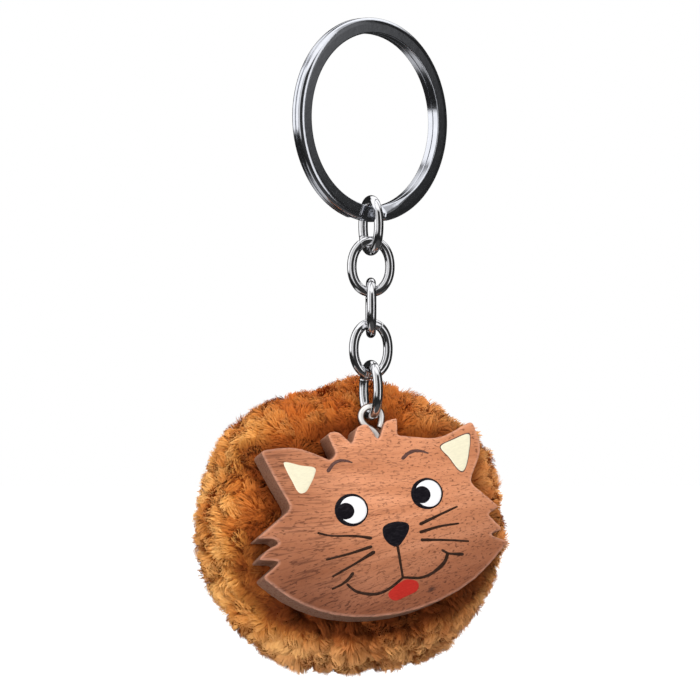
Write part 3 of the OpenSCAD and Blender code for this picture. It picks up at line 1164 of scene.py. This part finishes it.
def clear_of_parts(points):
    """Which fibres stay behind the board, and out of the way of the last link when it folds."""
    low = points[..., 1].min(1)
    keep = low > FRONT_LIMIT
    close = np.nonzero(keep & (low < WOOD_BACK + 0.1))[0]
    hit = over_board(points[close, 6]) | over_board(points[close, 1])
    keep[close[hit]] = False
    link = kd_tree(folded_link())
    near = np.nonzero(keep & (np.linalg.norm(points[:, 6], axis=1) < FOLD_REACH))[0]
    for index in near:
        keep[index] = min(link.find(p)[2] for p in points[index]) > LINK_WIRE + FOLD_CLEARANCE
    return keep


roots, fibre_points, fibre_normals, fibre_shade, fibre_tint = grow_pile()
keep = clear_of_parts(fibre_points)
FIBRE_FACES = np.array([[0, 3, 4], [0, 4, 1], [1, 4, 5], [1, 5, 2], [2, 5, 6]])


def pile_piece(name, chosen):
    """One piece of the pile from the chosen fibres."""
    points = fibre_points[chosen].reshape(-1, 3)
    faces = (np.arange(chosen.sum()) * FIBRE_POINTS)[:, None, None] + FIBRE_FACES[None]
    place = np.repeat(roots[chosen], FIBRE_POINTS, 0)
    piece = make(name, on_head(points), [faces.reshape(-1, 3)], pile, "head",
                 normals=fibre_normals[chosen].reshape(-1, 3) @ head_turn.T,
                 attributes={
                     "place": points, "shade": fibre_shade[chosen].ravel(),
                     "tint": np.repeat(fibre_tint[chosen], FIBRE_POINTS), "pale": painted_pale_light(place),
                     "painted_shadow": PAINTED_SHADOW * painted_wood_shadow(place),
                 })
    piece.visible_glossy = False


root_depth = roots[:, 1]
for name, start, end in (("front", -math.inf, 9), ("rim", 9, 19), ("back", 19, math.inf)):
    pile_piece(f"pile_{name}", keep & (root_depth >= start) & (root_depth < end))

# ---- hidden soft parts


FILLING_SCALE = 0.93


def stuffing():
    """The wad of filling, a little inside the cover."""
    middle = np.array([BALL[0], 15.5, BALL[2]])
    grid = middle + (cover_grid[::3, ::3] - middle) * FILLING_SCALE
    points, faces = capped(grid, grid[-1].mean(0))
    material, shader = new_material("fibre_filling", roughness=0.9)
    wisps = noise(attribute(shader, "place"), 1.5, 5, 0.7, 1.0)
    plug(
        shader,
        Base_Color=ramp(wisps, [(0.3, (0.72, 0.70, 0.66)), (0.7, (0.92, 0.91, 0.88))]),
        Normal=bump(wisps, 0.4),
    )
    make("filling_wad", on_head(points), faces, material, "head",
         replaces=["stuffing"], attributes={"place": points})


stuffing()


def dress(name, colour, roughness, scale, depth):
    """A patterned material on a CAD node that stays."""
    material, shader = new_material(name + "_finish", roughness=roughness)
    place = node("TexCoord", {}, shader.id_data).outputs["Object"]
    pattern = noise(place, scale, 4, 0.6, 0.4)
    plug(
        shader,
        Base_Color=ramp(pattern, [(0.35, scaled(colour, 0.6)), (0.65, colour)]),
        Normal=bump(pattern, depth),
    )
    for slot in frame["nodes"][name].material_slots:
        slot.material = material


dress("gathering_thread", (0.35, 0.17, 0.08), 0.8, 2500, 0.08)
dress("glue_pad", (0.80, 0.72, 0.55), 0.35, 600, 0.03)

# ---- stage, lights, camera

AZIMUTH = math.radians(-12)
CAMERA_AWAY = 600
LENS = 210
LOOK_LEFT = 3.07
LOOK_Z = -46.5
FLOOR_Z = -150
FLOOR_R = 2500

image_right, toward_camera = turned(AZIMUTH)
target = LOOK_Z * UP - LOOK_LEFT * image_right


def glowing(name, base, **surface):
    """A material that gives off white light; returns it and its shader."""
    material, shader = new_material(name, **surface)
    shader.inputs["Base Color"].default_value = (base, base, base, 1)
    shader.inputs["Emission Color"].default_value = (1, 1, 1, 1)
    return material, shader


def stage_mesh(name, points, faces, material, unseen_by):
    """A mesh of the stage, from points in mm, that some kinds of ray don't meet."""
    mesh = bpy.data.meshes.new(name)
    mesh.from_pydata((points * MM).tolist(), [], faces)
    mesh.materials.append(material)
    piece = bpy.data.objects.new(name, mesh)
    scene.collection.objects.link(piece)
    for kind in unseen_by:
        setattr(piece, "visible_" + kind, False)
    return mesh


def pale_floor():
    """A plain white floor well below the charm, which casts no light on it."""
    material, shader = glowing("floor", 0.95, roughness=1.0, specular_ior_level=0.0)
    shader.inputs["Emission Strength"].default_value = 1.0
    disc = np.column_stack([circle(64) * FLOOR_R, np.full(64, FLOOR_Z)])
    stage_mesh("floor", disc, [list(range(64))], material, ("diffuse", "glossy"))


pale_floor()

TENT_R = 450
TENT_STEP = 2
TENT_DARK = 0.007
CARDS = {
    "left": (1.3, (-114, -60, 8), (-4, 95, 4)),
    "right": (1.2, (46, 66, 6), (-22, 95, 8)),
    "sheen": (0.16, (70, 87, 8), (7, 40, 8)),
    "strip": (0.85, (-52, -14, 8), (-12, 60, 8)),
    "front": (0.03, (-20, 38, 20), (-25, 45, 15)),
}


def window(value, low, high, soft):
    """1 between low and high, falling to 0 over soft on either side."""
    return ease((value - low) / soft + 0.5) * ease((high - value) / soft + 0.5)


def tent_glow(azimuth, elevation):
    """Brightness that the metal sees, by degrees right of the camera and above the horizon."""
    cards = [
        gain * window(azimuth, *across) * window(elevation, *high)
        for gain, across, high in CARDS.values()
    ]
    over = ease((elevation - 40 + 12 * window(azimuth, 100, 170, 12)) / 10)
    over = over * (1.35 - 0.75 * window(azimuth, 55, 100, 20))
    under = ease((-35 - elevation) / 6) * (0.05 + 0.60 * window(azimuth, -150, -55, 25))
    return np.maximum.reduce([*cards, over, under, np.full_like(azimuth, TENT_DARK)])


def light_tent():
    """A shell round the charm that only reflections see: white cards with dark gaps."""
    azimuth = np.radians(np.arange(-180, 180, TENT_STEP))
    elevation = np.radians(np.arange(-90, 91, TENT_STEP))
    a, e = np.meshgrid(azimuth, elevation)
    flat = np.cos(a)[..., None] * toward_camera + np.sin(a)[..., None] * image_right
    points = flat * np.cos(e)[..., None] + np.sin(e)[..., None] * UP
    points = points.reshape(-1, 3) * TENT_R + target
    material, shader = glowing("light_tent", 0.0)
    plug(shader, Emission_Strength=attribute(shader, "glow", "Fac"))
    mesh = stage_mesh("light_tent", points, grid_faces(*a.shape).tolist(), material,
                      ("camera", "diffuse", "shadow", "transmission"))
    add_attributes(mesh, {"glow": tent_glow(np.degrees(a), np.degrees(e)).ravel()})


light_tent()


def aim(thing, place):
    """Puts a lamp or a camera at a place in mm, looking at the target."""
    scene.collection.objects.link(thing)
    thing.location = Vector(place * MM)
    thing.rotation_mode = "QUATERNION"
    thing.rotation_quaternion = Vector(target - place).to_track_quat("-Z", "Y")


def softbox(name, away, right, up, size, power):
    """A square area light that faces the charm, placed from the camera's point of view."""
    light = bpy.data.lights.new(name, "AREA")
    light.shape = "SQUARE"
    light.size = size * MM
    light.energy = power
    lamp = bpy.data.objects.new(name, light)
    aim(lamp, target + toward_camera * away + image_right * right + UP * up)
    lamp.visible_glossy = False


softbox("key", 420, 60, 290, 240, 3.0)
softbox("fill", 430, -300, -110, 380, 2.3)
softbox("top", -20, -40, 420, 300, 0.7)
softbox("low", 280, -80, -330, 280, 1.6)
softbox("side", -110, 400, 20, 240, 1.3)
softbox("rim", -300, -240, 200, 300, 1.6)

WORLD_LIGHT = 0.26
world = bpy.data.worlds.new("studio")
scene.world = world
world.use_nodes = True
background = world.node_tree.nodes["Background"]
background.inputs["Color"].default_value = (1, 1, 1, 1)
seen = node("LightPath", {}, background.id_data).outputs["Is Camera Ray"]
plug(background, Strength=between(seen, 0.0, 1.0, WORLD_LIGHT, 1.0))

camera = bpy.data.cameras.new("camera")
camera.sensor_width = 36
camera.lens = LENS
camera.clip_start = 0.01
camera.clip_end = 20
viewer = bpy.data.objects.new("camera", camera)
aim(viewer, target + toward_camera * CAMERA_AWAY)
scene.camera = viewer
scene.view_settings.view_transform = "Standard"
